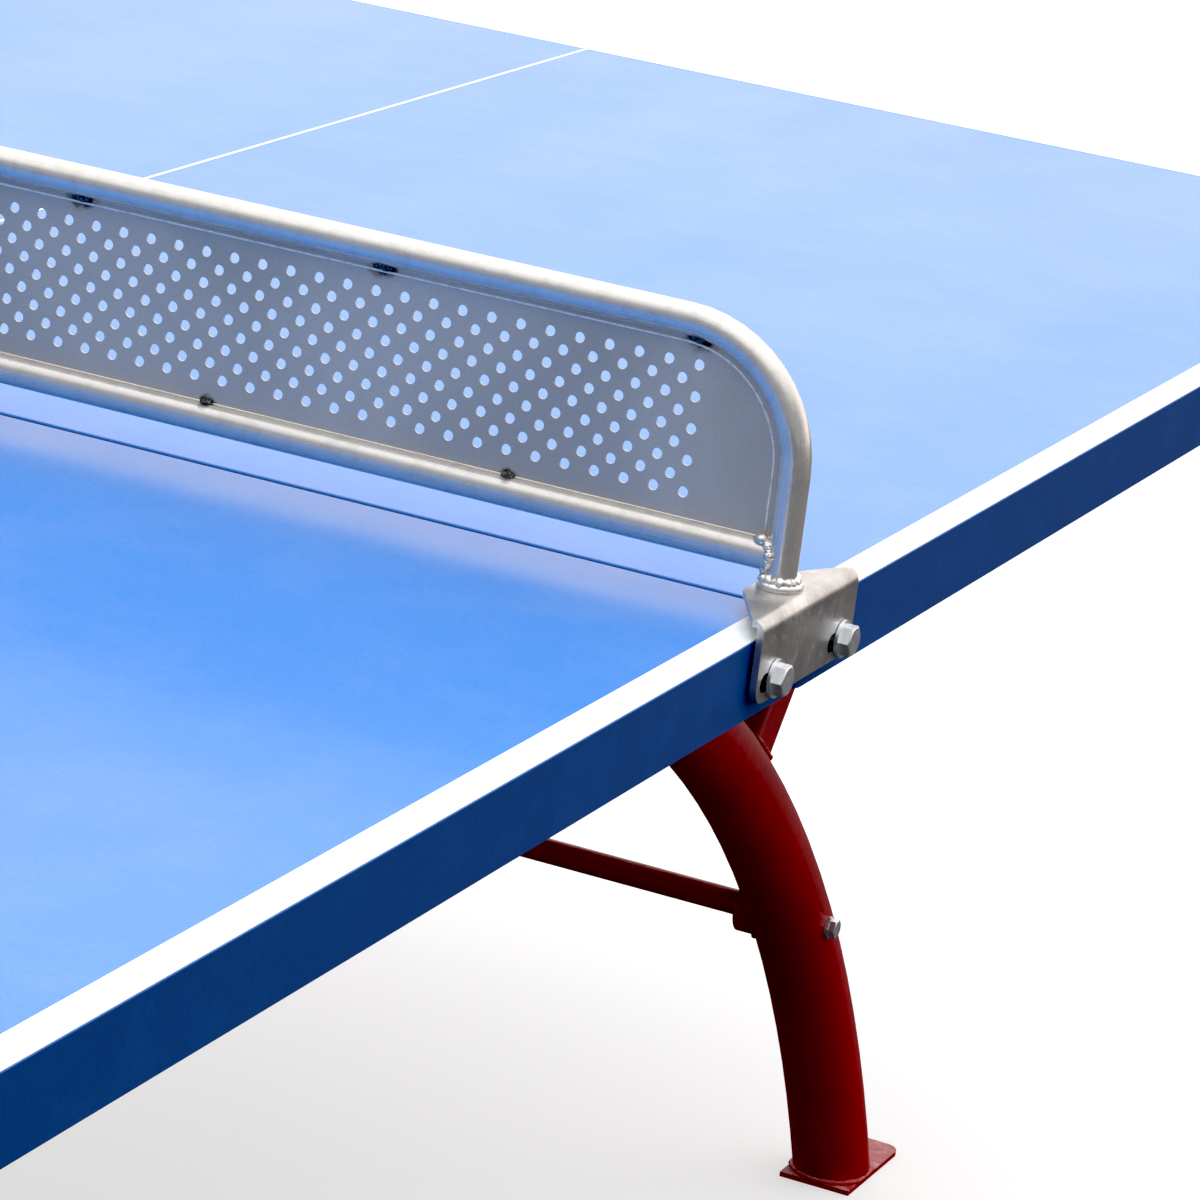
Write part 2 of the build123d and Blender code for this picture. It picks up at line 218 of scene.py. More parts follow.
def buildTackHeat():
    # scorched spots round tack welds that repeat along X at one height
    values = {"Pitch": 0.1954, "Shift": 0.0977, "Height": 0.9, "Radius": 0.008, "Long": 1.0}
    group, start, end = newGroup("tackHeat", values, ["Mask"])
    place = addNode(group, "ShaderNodeSeparateXYZ",
                    {0: addNode(group, "ShaderNodeTexCoord").outputs["Object"]})
    pitch = start.outputs["Pitch"]
    half = math(group, "MULTIPLY", pitch, 0.5)
    moved = math(group, "ADD", math(group, "SUBTRACT", place.outputs[0], start.outputs["Shift"]), half)
    wrapped = math(group, "SUBTRACT", math(group, "FLOORED_MODULO", moved, pitch), half)
    across = math(group, "DIVIDE", wrapped, start.outputs["Long"])
    up = math(group, "SUBTRACT", place.outputs[2], start.outputs["Height"])
    ragged = math(group, "MULTIPLY", noiseValue(group, objectPlace(group), 260.0, 3.0),
                  start.outputs["Radius"])
    squares = math(group, "ADD", math(group, "MULTIPLY", across, across), math(group, "MULTIPLY", up, up))
    away = math(group, "ADD", math(group, "SQRT", squares), math(group, "MULTIPLY", ragged, 0.9))
    inner = math(group, "MULTIPLY", start.outputs["Radius"], 0.75)
    outer = math(group, "MULTIPLY", start.outputs["Radius"], 1.35)
    group.links.new(mapRange(group, away, outer, inner), end.inputs["Mask"])
    return group


speckle = buildSpeckle()
brushing = buildBrushing()
mottle = buildMottle()
upFacingPatches = buildUpFacingPatches()
wornEdges = buildWornEdges()
tackHeat = buildTackHeat()
print("shared effects ready")

topFinish = {
    "deep": (0.020, 0.195, 0.640, 1),
    "pale": (0.034, 0.215, 0.655, 1),
    # the apron colours are partly a deeper navy and partly painted shade on the side faces
    "apronShaded": (0.002, 0.058, 0.270, 1),
    "apronShadedPale": (0.003, 0.068, 0.300, 1),
    "dust": (0.46, 0.50, 0.55, 1),
    "rough": 0.24,
}


def makeTopFinish():
    material, tree, shader = newMaterial("blueMouldedTop", IOR=1.5)
    height = addNode(tree, "ShaderNodeSeparateXYZ", {0: objectPlace(tree)}).outputs[2]
    grain = useGroup(tree, speckle, Scale=900.0, Contrast=0.85)
    clouds = useGroup(tree, mottle, Scale=2.2)
    surface = mixColour(tree, clouds["Cloud"], topFinish["deep"], topFinish["pale"])
    # painted shade: the apron faces take a much darker blue than the top, partly a deeper navy and partly
    # darkened to stand for the dimmer light on the sides
    side = mixColour(tree, clouds["Blotch"], topFinish["apronShaded"], topFinish["apronShadedPale"])
    onTop = mapRange(tree, height, topZ - 1.6 * mm, topZ - 0.9 * mm)
    colour = mixColour(tree, onTop, side, surface)
    colour = mixColour(tree, 1.0, colour, grain["Tone"], "MULTIPLY")
    dust = useGroup(tree, upFacingPatches, Amount=0.06, Scale=14.0)["Mask"]
    colour = mixColour(tree, dust, colour, topFinish["dust"])
    wiped = noiseValue(tree, objectPlace(tree, (9.0, 1.4, 1.0)), 1.0, 3.0)
    rough = math(tree, "ADD", mapRange(tree, wiped, 0.35, 0.65, 0.0, 0.03), topFinish["rough"])
    rough = math(tree, "ADD", rough, math(tree, "MULTIPLY", math(tree, "SUBTRACT", 1.0, onTop), 0.50))
    plug(tree, shader, colour=colour, rough=rough, normal=bumpNormal(tree, grain["Height"], 0.00006, 0.5))
    return material


def makeLinePaint():
    material, tree, shader = newMaterial("whiteLinePaint", IOR=1.5)
    grain = useGroup(tree, speckle, Scale=1300.0, Contrast=0.10)
    clouds = useGroup(tree, mottle, Scale=6.0)
    colour = mixColour(tree, clouds["Blotch"], (0.80, 0.86, 0.90, 1), (0.72, 0.79, 0.84, 1))
    colour = mixColour(tree, 1.0, colour, grain["Tone"], "MULTIPLY")
    rough = mapRange(tree, clouds["Cloud"], 0.0, 1.0, 0.30, 0.38, smooth=False)
    plug(tree, shader, colour=colour, rough=rough, normal=bumpNormal(tree, grain["Height"], 0.00005, 0.4))
    return material


steelFinish = {
    "tube": (0.74, 0.72, 0.69, 1),
    "tubeDull": (0.50, 0.485, 0.46, 1),
    "panel": (0.60, 0.56, 0.50, 1),
    "panelDull": (0.48, 0.45, 0.40, 1),
    "bracket": (0.72, 0.71, 0.70, 1),
    "bracketDull": (0.36, 0.355, 0.35, 1),
    "soot": (0.012, 0.012, 0.014, 1),
    "straw": (0.30, 0.22, 0.12, 1),
    "topTacks": {"Pitch": 195.4 * mm, "Shift": 97.7 * mm, "Height": 898.5 * mm},
    "bottomTacks": {"Pitch": 193.0 * mm, "Shift": 0.0, "Height": 797.5 * mm},
}


def makeTubeFinish():
    # satin tube: brushed along X on the run, along Z on the posts
    material, tree, shader = newMaterial("satinTube", Metallic=0.62)
    place = addNode(tree, "ShaderNodeSeparateXYZ", {0: objectPlace(tree)})
    onPost = mapRange(tree, math(tree, "ABSOLUTE", place.outputs[0]), postX - 40 * mm, postX - 8 * mm)
    run = useGroup(tree, brushing, Stretch=(5.0, 900.0, 900.0))
    post = useGroup(tree, brushing, Stretch=(900.0, 900.0, 5.0))
    lines = addNode(tree, "ShaderNodeMix", {0: onPost, 2: run["Tone"], 3: post["Tone"]}).outputs[0]
    clouds = useGroup(tree, mottle, Scale=11.0)
    colour = mixColour(tree, math(tree, "MULTIPLY", lines, 0.45),
                       steelFinish["tube"], steelFinish["tubeDull"])
    colour = mixColour(tree, math(tree, "MULTIPLY", clouds["Blotch"], 0.4), colour, steelFinish["tubeDull"])
    soot = useGroup(tree, tackHeat, Radius=5.0 * mm, Long=1.5, **steelFinish["topTacks"])["Mask"]
    colour = mixColour(tree, math(tree, "MULTIPLY", soot, 0.85), colour, steelFinish["soot"])
    low = useGroup(tree, tackHeat, Radius=4.5 * mm, Long=1.2, **steelFinish["bottomTacks"])["Mask"]
    colour = mixColour(tree, math(tree, "MULTIPLY", low, 0.6), colour, steelFinish["soot"])
    rough = math(tree, "ADD", mapRange(tree, clouds["Cloud"], 0.0, 1.0, 0.17, 0.25, smooth=False),
                 math(tree, "MULTIPLY", lines, 0.08))
    plug(tree, shader, colour=colour, rough=rough, normal=bumpNormal(tree, lines, 0.00002, 0.25))
    return material


def makePanelFinish():
    material, tree, shader = newMaterial("perforatedSheet", IOR=1.45)
    grain = useGroup(tree, speckle, Scale=1400.0, Contrast=0.35)
    clouds = useGroup(tree, mottle, Scale=7.0)
    colour = mixColour(tree, clouds["Cloud"], steelFinish["panel"], steelFinish["panelDull"])
    colour = mixColour(tree, 1.0, colour, grain["Tone"], "MULTIPLY")
    straw = useGroup(tree, tackHeat, Radius=12.0 * mm, Long=1.3, **steelFinish["topTacks"])["Mask"]
    colour = mixColour(tree, math(tree, "MULTIPLY", straw, 0.35), colour, steelFinish["straw"])
    soot = useGroup(tree, tackHeat, Radius=7.5 * mm, Long=1.8, **steelFinish["topTacks"])["Mask"]
    colour = mixColour(tree, soot, colour, steelFinish["soot"])
    low = useGroup(tree, tackHeat, Radius=6.5 * mm, Long=1.3, **steelFinish["bottomTacks"])["Mask"]
    colour = mixColour(tree, low, colour, steelFinish["soot"])
    burnt = math(tree, "MAXIMUM", soot, low)
    metal = math(tree, "SUBTRACT", 0.40, math(tree, "MULTIPLY", burnt, 0.4))
    rough = math(tree, "ADD", mapRange(tree, clouds["Blotch"], 0.0, 1.0, 0.46, 0.56, smooth=False),
                 math(tree, "MULTIPLY", burnt, 0.3))
    plug(tree, shader, colour=colour, metal=metal, rough=rough,
         normal=bumpNormal(tree, grain["Height"], 0.00004, 0.4))
    return material


def makeBracketFinish():
    material, tree, shader = newMaterial("bracketPlate", Metallic=1.0)
    lines = useGroup(tree, brushing, Stretch=(500.0, 500.0, 9.0))
    clouds = useGroup(tree, mottle, Scale=30.0)
    edges = useGroup(tree, wornEdges, Reach=1.0 * mm, Broken=160.0)["Mask"]
    dull = math(tree, "ADD", math(tree, "MULTIPLY", clouds["Cloud"], 0.6),
                math(tree, "MULTIPLY", lines["Tone"], 0.35))
    colour = mixColour(tree, dull, steelFinish["bracket"], steelFinish["bracketDull"])
    colour = mixColour(tree, math(tree, "MULTIPLY", edges, 0.6), colour, (0.80, 0.80, 0.80, 1))
    rough = math(tree, "ADD", mapRange(tree, clouds["Blotch"], 0.0, 1.0, 0.34, 0.46, smooth=False),
                 math(tree, "MULTIPLY", lines["Tone"], 0.06))
    plug(tree, shader, colour=colour, rough=rough, normal=bumpNormal(tree, lines["Height"], 0.00003, 0.3))
    return material


def makeZincFinish():
    # bright plating with a faint white bloom in places
    material, tree, shader = newMaterial("zincPlated")
    clouds = useGroup(tree, mottle, Scale=35.0)
    grain = useGroup(tree, speckle, Scale=2500.0, Contrast=0.25)
    edges = useGroup(tree, wornEdges, Reach=0.6 * mm, Broken=400.0)["Mask"]
    colour = mixColour(tree, clouds["Cloud"], (0.78, 0.81, 0.84, 1), (0.68, 0.72, 0.77, 1))
    colour = mixColour(tree, math(tree, "MULTIPLY", edges, 0.3), colour, (0.85, 0.87, 0.88, 1))
    colour = mixColour(tree, 1.0, colour, grain["Tone"], "MULTIPLY")
    metal = math(tree, "SUBTRACT", 0.85, math(tree, "MULTIPLY", clouds["Blotch"], 0.25))
    rough = mapRange(tree, clouds["Blotch"], 0.0, 1.0, 0.28, 0.42, smooth=False)
    plug(tree, shader, colour=colour, metal=metal, rough=rough,
         normal=bumpNormal(tree, grain["Height"], 0.00001, 0.15))
    return material


def makeGalvanisedFinish():
    # frosty spangles, each crystal with its own tone
    material, tree, shader = newMaterial("galvanisedSpangle")
    crystals = addNode(tree, "ShaderNodeTexVoronoi", {"Vector": objectPlace(tree), "Scale": 120.0})
    tone = addNode(tree, "ShaderNodeSeparateColor", {0: crystals.outputs["Color"]}).outputs[0]
    clouds = useGroup(tree, mottle, Scale=5.0)
    dust = useGroup(tree, upFacingPatches, Amount=0.5, Scale=22.0)["Mask"]
    colour = mixColour(tree, tone, (0.42, 0.45, 0.47, 1), (0.56, 0.58, 0.60, 1))
    colour = mixColour(tree, math(tree, "MULTIPLY", clouds["Blotch"], 0.4), colour, (0.62, 0.63, 0.62, 1))
    colour = mixColour(tree, dust, colour, (0.40, 0.38, 0.35, 1))
    metal = math(tree, "SUBTRACT", 0.9, math(tree, "MULTIPLY", dust, 0.8))
    rough = mapRange(tree, tone, 0.0, 1.0, 0.38, 0.55, smooth=False)
    plug(tree, shader, colour=colour, metal=metal, rough=rough, normal=bumpNormal(tree, tone, 0.00004, 0.2))
    return material


def makeRedPaint():
    # dark red powder coat: orange peel, worn edges, a little dust on what looks up, with a painted sheen on
    # upward faces and a painted pink glare on the foot plates
    material, tree, shader = newMaterial("redPowderCoat", IOR=1.5)
    grain = useGroup(tree, speckle, Scale=700.0, Contrast=0.35)
    peel = noiseValue(tree, objectPlace(tree), 260.0, 2.0)
    clouds = useGroup(tree, mottle, Scale=8.0)
    edges = useGroup(tree, wornEdges, Reach=1.2 * mm, Broken=120.0)["Mask"]
    height = addNode(tree, "ShaderNodeSeparateXYZ", {0: objectPlace(tree)}).outputs[2]
    # painted glare: near the ground the pink patches grow strong on the foot plates to stand for light
    # glancing off them, mixed with splashed dust
    footGlareAndDust = mapRange(tree, height, 0.03, 0.0, 0.30, 1.6)
    dust = useGroup(tree, upFacingPatches, Amount=footGlareAndDust, Scale=60.0)["Mask"]
    colour = mixColour(tree, clouds["Cloud"], (0.40, 0.007, 0.010, 1), (0.49, 0.011, 0.015, 1))
    colour = mixColour(tree, 1.0, colour, grain["Tone"], "MULTIPLY")
    colour = mixColour(tree, math(tree, "MULTIPLY", edges, 0.35), colour, (0.50, 0.10, 0.09, 1))
    dust = math(tree, "MINIMUM", dust, 0.85)
    # pinkish patches on upward faces: some dust, plus a painted sheen and painted glare
    colour = mixColour(tree, dust, colour, (0.70, 0.40, 0.42, 1))
    rough = math(tree, "ADD", mapRange(tree, clouds["Blotch"], 0.0, 1.0, 0.34, 0.44, smooth=False),
                 math(tree, "MULTIPLY", dust, 0.5))
    plug(tree, shader, colour=colour, rough=rough, normal=bumpNormal(tree, peel, 0.00012, 0.35))
    return material


def makeWeldMetal():
    # bright bead with heat colours where it cooled slowly
    material, tree, shader = newMaterial("weldMetal", Metallic=1.0)
    clouds = useGroup(tree, mottle, Scale=70.0)
    grain = useGroup(tree, speckle, Scale=1800.0, Contrast=0.5)
    colour = mixColour(tree, math(tree, "MULTIPLY", clouds["Blotch"], 0.7),
                       (0.78, 0.78, 0.78, 1), (0.42, 0.38, 0.33, 1))
    colour = mixColour(tree, 1.0, colour, grain["Tone"], "MULTIPLY")
    rough = mapRange(tree, clouds["Cloud"], 0.0, 1.0, 0.30, 0.48, smooth=False)
    plug(tree, shader, colour=colour, rough=rough, normal=bumpNormal(tree, grain["Height"], 0.0002, 0.6))
    return material


def makeHighlightLineFinish():
    # painted highlight: a near-white finish that stands for the bright line of light seen just inside the
    # tube
    material, tree, shader = newMaterial("paintedHighlightLine", IOR=1.45)
    grain = useGroup(tree, speckle, Scale=1600.0, Contrast=0.3)
    clouds = useGroup(tree, mottle, Scale=20.0)
    colour = mixColour(tree, clouds["Blotch"], (0.92, 0.91, 0.88, 1), (0.70, 0.69, 0.66, 1))
    colour = mixColour(tree, 1.0, colour, grain["Tone"], "MULTIPLY")
    metal = mapRange(tree, clouds["Cloud"], 0.0, 1.0, 0.2, 0.4, smooth=False)
    rough = mapRange(tree, clouds["Cloud"], 0.0, 1.0, 0.25, 0.40, smooth=False)
    plug(tree, shader, colour=colour, metal=metal, rough=rough)
    return material


def makeTackMetal():
    # sooty skin with some bare metal showing on the crown
    material, tree, shader = newMaterial("tackMetal")
    clouds = useGroup(tree, mottle, Scale=90.0)
    grain = useGroup(tree, speckle, Scale=1500.0, Contrast=0.8)
    colour = mixColour(tree, clouds["Blotch"], (0.035, 0.034, 0.034, 1), (0.30, 0.29, 0.28, 1))
    colour = mixColour(tree, 1.0, colour, grain["Tone"], "MULTIPLY")
    metal = mapRange(tree, clouds["Blotch"], 0.0, 1.0, 0.4, 1.0, smooth=False)
    rough = mapRange(tree, clouds["Cloud"], 0.0, 1.0, 0.45, 0.65, smooth=False)
    plug(tree, shader, colour=colour, metal=metal, rough=rough,
         normal=bumpNormal(tree, grain["Height"], 0.0003, 0.6))
    return material


def makeRubber():
    material, tree, shader = newMaterial("blackRubber", IOR=1.45)
    grain = useGroup(tree, speckle, Scale=1200.0, Contrast=0.5)
    dust = useGroup(tree, upFacingPatches, Amount=0.3, Scale=80.0)["Mask"]
    colour = mixColour(tree, 1.0, (0.028, 0.028, 0.031, 1), grain["Tone"], "MULTIPLY")
    colour = mixColour(tree, dust, colour, (0.24, 0.23, 0.22, 1))
    rough = mapRange(tree, grain["Height"], 0.3, 0.7, 0.62, 0.80, smooth=False)
    plug(tree, shader, colour=colour, rough=rough, normal=bumpNormal(tree, grain["Height"], 0.0001, 0.5))
    return material


topPaint = makeTopFinish()
linePaint = makeLinePaint()
tubeSteel = makeTubeFinish()
panelSteel = makePanelFinish()
bracketSteel = makeBracketFinish()
zinc = makeZincFinish()
galvanised = makeGalvanisedFinish()
redPaint = makeRedPaint()
weldMetal = makeWeldMetal()
paintedHighlightLine = makeHighlightLineFinish()
tackMetal = makeTackMetal()
rubber = makeRubber()

slotFinish = {
    "moulded_top": topPaint,
    "stainless_steel": tubeSteel,
    "zinc_steel": zinc,
    "galvanised_steel": galvanised,
    "red_paint": redPaint,
    "rubber": rubber,
}
ownFinish = {
    "net_panel": panelSteel,
    "left_net_bracket": bracketSteel,
    "right_net_bracket": bracketSteel,
}
for name, node in nodes.items():
    recordSlot = node.data.materials[0].name.split(".")[0]
    node.material_slots[0].link = "OBJECT"
    node.material_slots[0].material = ownFinish.get(name, slotFinish[recordSlot])
print("finishes ready and given to the nodes")


def showPiece(name, mesh, material, body, smooth=True):
    bmesh.ops.recalc_face_normals(mesh, faces=mesh.faces)
    data = bpy.data.meshes.new(name)
    mesh.to_mesh(data)
    mesh.free()
    for face in data.polygons:
        face.use_smooth = smooth
    data.materials.append(material)
    piece = bpy.data.objects.new(name, data)
    bpy.context.collection.objects.link(piece)
    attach(piece, body)
    print("piece", name, len(data.polygons), "faces")
    return piece


def mergeInto(target, part):
    data = bpy.data.meshes.new("loose")
    part.to_mesh(data)
    part.free()
    target.from_mesh(data)
    bpy.data.meshes.remove(data)


def layBead(target, path, radius, closed, ripple=0.16, sides=8):
    # rings of a rippling radius along the path, bridged into one skin
    bead = bmesh.new()
    rings = []
    count = len(path)
    for index, point in enumerate(path):
        ahead = path[(index + 1) % count] if closed or index + 1 < count else point
        behind = path[index - 1] if closed or index else point
        turn = (ahead - behind).to_track_quat("Z", "Y").to_matrix().to_4x4()
        swell = 1 + ripple * cos(2 * pi * index / 3) + 0.5 * ripple * noise.noise(point * 300)
        atEnd = not closed and index in (0, count - 1)
        ring = bmesh.ops.create_circle(bead, cap_ends=atEnd, segments=sides,
                                       radius=radius * swell * (0.55 if atEnd else 1),
                                       matrix=Matrix.Translation(point) @ turn)
        rings.append(list({edge for vert in ring["verts"] for edge in vert.link_edges}))
    pairs = list(zip(rings, rings[1:])) + ([(rings[-1], rings[0])] if closed else [])
    for first, second in pairs:
        bmesh.ops.bridge_loops(bead, edges=first + second)
    mergeInto(target, bead)


def dropNugget(target, place, size, seed):
    # lump of weld metal: a rounded blob, dented and flattened where it lies
    lump = bmesh.new()
    bmesh.ops.create_icosphere(lump, subdivisions=3, radius=1.0)
    for vert in lump.verts:
        push = 1 + 0.28 * noise.noise(vert.co * 1.7 + Vector((seed, 0, 0)))
        vert.co = Vector([place[axis] + vert.co[axis] * push * size[axis] for axis in range(3)])
    mergeInto(target, lump)


def alongLine(start, end, step):
    count = max(3, round((end - start).length / step))
    return [start.lerp(end, index / count) for index in range(count + 1)]


lines = {"width": 20 * mm, "centreWidth": 3 * mm, "film": 0.2 * mm, "steepest": 0.6}


def peelLines(name, source):
    # the painted lines: the top's own upper faces, cut along the lines and lifted by a coat of paint
    film = bmesh.new()
    film.from_mesh(nodes[source].data)
    bmesh.ops.remove_doubles(film, verts=film.verts, dist=0.01 * mm)
    side = halfWidth - lines["width"]
    end = halfLength - lines["width"]
    centre = lines["centreWidth"] / 2
    cuts = [((x, 0, 0), (1, 0, 0)) for x in (-side, -centre, centre, side)]
    cuts += [((0, y, 0), (0, 1, 0)) for y in (-end, end)]
    for place, direction in cuts:
        bmesh.ops.bisect_plane(film, geom=film.verts[:] + film.edges[:] + film.faces[:],
                               plane_co=place, plane_no=direction, dist=0.001 * mm)

    def isPainted(face):
        middle = face.calc_center_median()
        onLine = abs(middle.x) > side or abs(middle.y) > end or abs(middle.x) < centre
        return onLine and middle.z > topZ - table["edgeRound"] and face.normal.z > lines["steepest"]

    bare = [face for face in film.faces if not isPainted(face)]
    bmesh.ops.delete(film, geom=bare, context="FACES")
    lifted = bmesh.ops.extrude_face_region(film, geom=film.faces[:], use_keep_orig=True)["geom"]
    raised = [item for item in lifted if isinstance(item, bmesh.types.BMVert)]
    film.normal_update()
    for vert in raised:
        outward = Vector((0, 0, 0))
        for face in vert.link_faces:
            if face.normal.z > 0.3:
                outward += face.normal * face.calc_area()
        vert.co += outward.normalized() * lines["film"]
    showPiece(name, film, linePaint, "table", smooth=False)


peelLines("front_line_paint", "front_half_top")
peelLines("rear_line_paint", "rear_half_top")

tacks = {"topPitch": 195.4 * mm, "topPairs": 4, "bottomPitch": 193 * mm, "bottomPairs": 3}


def makeNetTacks():
    # tack welds that hold the sheet to the tubes, on the front side
    welds = bmesh.new()
    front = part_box("net_panel")[0][1]
    bendX = postX - table["netCorner"]
    inner = table["netCorner"] - table["netTube"]
    for pair in range(tacks["topPairs"]):
        for hand in (-1, 1):
            x = (pair + 0.5) * tacks["topPitch"]
            drop = inner - sqrt(inner ** 2 - max(0.0, x - bendX) ** 2)
            place = (hand * x, front - 0.3 * mm, netTopZ - table["netTube"] - drop - 0.2 * mm)
            dropNugget(welds, place, (5.5 * mm, 2.6 * mm, 2.7 * mm), 3.1 * pair + hand)
    for step in range(-tacks["bottomPairs"], tacks["bottomPairs"] + 1):
        place = (step * tacks["bottomPitch"], front - 0.5 * mm, netRailZ + table["netTube"])
        dropNugget(welds, place, (4.2 * mm, 2.8 * mm, 2.6 * mm), 7.3 * step)
    showPiece("net_tack_welds", welds, tackMetal, "net")


def makeNetWelds():
    # beads where the bottom rail meets the posts, and collars where the posts stand on the brackets
    welds = bmesh.new()
    tube = table["netTube"]
    for hand in (-1, 1):
        for step in range(30):
            turn = 2 * pi * step / 30
            size = (2.3 + 1.4 * noise.noise(Vector((step * 1.9, hand, 0.5)))) * mm
            place = (hand * (postX - tube * (0.45 + 0.55 * abs(sin(turn)))),
                     netY + tube * cos(turn), netRailZ + tube * sin(turn))
            dropNugget(welds, place, (size * 1.15, size, size), step + hand * 4.0)
        crest = (hand * (postX - 12.5 * mm), netY - 4.5 * mm, netRailZ + tube)
        dropNugget(welds, crest, (4.2 * mm, 3.4 * mm, 3.2 * mm), 11.0 * hand)
        collar = []
        for step in range(40):
            turn = 2 * pi * step / 40
            wander = 0.8 * mm * noise.noise(Vector((step * 0.35, 5.0, hand)))
            out = tube + 1.2 * mm + wander
            collar.append(Vector((hand * postX + out * cos(turn), netY + out * sin(turn),
                                  flangeZ + 1.2 * mm)))
        layBead(welds, collar, 3.0 * mm, True, ripple=0.08)
        for step in range(16):
            turn = 2 * pi * step / 16
            size = (2.7 + 1.2 * noise.noise(Vector((step * 2.3, hand, 4.5)))) * mm
            place = (hand * postX + (tube + 0.2 * mm) * cos(turn), netY + (tube + 0.2 * mm) * sin(turn),
                     flangeZ + 4.2 * mm)
            dropNugget(welds, place, (size, size, size * 1.2), 3.0 * step + hand)
    showPiece("net_welds", welds, weldMetal, "net")


highlightLine = {"inset": 3.0 * mm, "radius": 0.75 * mm, "bendSteps": 18, "straightStep": 60 * mm}


def makePanelHighlightLine():
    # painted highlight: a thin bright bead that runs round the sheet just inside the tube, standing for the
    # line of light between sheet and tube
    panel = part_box("net_panel")
    reach = panel[1][0] - highlightLine["inset"]
    top = panel[1][2] - highlightLine["inset"]
    bend = table["netCorner"] - table["netTube"] - highlightLine["inset"]
    front = panel[0][1]
    foot = netRailZ + table["netTube"]
    low, high = Vector((reach, front, foot)), Vector((reach, front, top - bend))
    path = alongLine(low, high, 12 * mm)
    for step in range(1, highlightLine["bendSteps"]):
        turn = pi / 2 * step / highlightLine["bendSteps"]
        path.append(Vector((reach - bend + bend * cos(turn), front, top - bend + bend * sin(turn))))
    path += alongLine(Vector((reach - bend, front, top)), Vector((0, front, top)), highlightLine["straightStep"])
    path += [Vector((-point.x, point.y, point.z)) for point in reversed(path[:-1])]
    highlightBead = bmesh.new()
    layBead(highlightBead, path, highlightLine["radius"], False, ripple=0.0, sides=6)
    showPiece("net_panel_highlight_line", highlightBead, paintedHighlightLine, "net")


makeNetTacks()
makeNetWelds()
makePanelHighlightLine()

frameWeld = {"bead": 2.6 * mm, "step": 2.4 * mm}


def aroundSquare(size, corner, step):
    # points round a square with rounded corners, evenly spaced
    half = size / 2 - corner
    points = []
    for quarter in range(4):
        turn = Matrix.Rotation(quarter * pi / 2, 2)
        side = round(2 * half / step)
        points += [turn @ Vector((size / 2, -half + 2 * half * index / side)) for index in range(side)]
        bendSteps = 3
        points += [turn @ Vector((half + corner * cos(pi / 2 * index / bendSteps),
                                  half + corner * sin(pi / 2 * index / bendSteps)))
                          for index in range(bendSteps)]
    return points


def makeFootWelds():
    # fillet bead round each leg tube where it stands on its foot plate
    welds = bmesh.new()
    drop = footTop - table["archCentre"]
    legY = sqrt(table["archRadius"] ** 2 - drop ** 2)
    stretch = table["archRadius"] / legY
    for hand in (-1, 1):
        for way in (-1, 1):
            path = []
            for step in range(84):
                turn = 2 * pi * step / 84
                across = (table["legTube"] + 0.6 * mm) * cos(turn)
                if abs(across) > 28.2 * mm:
                    across = 28.2 * mm if across > 0 else -28.2 * mm
                along = (table["legTube"] * stretch + 0.8 * mm) * sin(turn)
                path.append(Vector((hand * legX + across, way * (legY + along), footTop + 0.9 * mm)))
            layBead(welds, path, frameWeld["bead"], True)
    showPiece("foot_welds", welds, redPaint, "table")


def makeStrutWelds():
    # beads where each strut meets the arch tube below and its seat plate above
    welds = bmesh.new()
    turn = table["strutTurn"]
    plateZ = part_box("front_left_strut_plate")[0][2]
    outline = aroundSquare(table["strutSize"] + 0.8 * mm, 4 * mm, frameWeld["step"])
    for hand in (-1, 1):
        for way in (-1, 1):
            low, high = [], []
            for across, along in outline:
                reach = table["archRadius"] + sqrt(max(0.0, (table["legTube"] + 0.6 * mm) ** 2 - across ** 2))
                rise = sqrt(reach ** 2 - along ** 2)
                side = Vector((hand * legX + across, way * along * cos(turn), -along * sin(turn)))
                low.append(side + Vector((0, way * rise * sin(turn), table["archCentre"] + rise * cos(turn))))
                rise = (plateZ - 1.0 * mm - table["archCentre"] + along * sin(turn)) / cos(turn)
                high.append(side + Vector((0, way * rise * sin(turn),
                                           table["archCentre"] + rise * cos(turn))))
            layBead(welds, low, frameWeld["bead"] * 0.9, True)
            layBead(welds, high, frameWeld["bead"] * 0.8, True)
    showPiece("strut_welds", welds, redPaint, "table")


def makeBarWelds():
    # beads where each cross bar meets its saddle, and where the saddle sits on the leg
    welds = bmesh.new()
    for end in ("front", "rear"):
        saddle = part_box(f"{end}_right_bar_saddle")
        barY, barZ = (saddle[0][1] + saddle[1][1]) / 2, (saddle[0][2] + saddle[1][2]) / 2
        around = (saddle[1][2] - saddle[0][2]) / 2 + 0.5 * mm
        for hand in (-1, 1):
            bar, seat = [], []
            for step in range(54):
                turn = 2 * pi * step / 54
                out = table["barTube"] + 0.6 * mm
                bar.append(Vector((hand * (saddle[0][0] - 0.6 * mm), barY + out * cos(turn),
                                   barZ + out * sin(turn))))
                y, z = barY + around * cos(turn), barZ + around * sin(turn)
                off = sqrt(y ** 2 + (z - table["archCentre"]) ** 2) - table["archRadius"]
                skin = sqrt(table["legTube"] ** 2 - off ** 2) + 0.5 * mm
                seat.append(Vector((hand * (legX - skin), y, z)))
            layBead(welds, bar[::2], 1.9 * mm, True)
            layBead(welds, seat, 2.2 * mm, True)
    showPiece("bar_welds", welds, redPaint, "table")


def makeCrownWelds():
    # straight beads along both sides of the crown webs, under the crown plates
    welds = bmesh.new()
    for side in ("left", "right"):
        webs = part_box(f"{side}_crown_webs")
        under = webs[1][2] - 1.2 * mm
        middle = (webs[0][0] + webs[1][0]) / 2
        for hand in (-1, 1):
            outer = (webs[1][0] - webs[0][0]) / 2 + 1.0 * mm
            start = Vector((middle + hand * outer, webs[0][1] + 4 * mm, under))
            end = Vector((middle + hand * outer, webs[1][1] - 4 * mm, under))
            layBead(welds, alongLine(start, end, frameWeld["step"]), frameWeld["bead"] * 0.85, False)
    showPiece("crown_welds", welds, redPaint, "table")


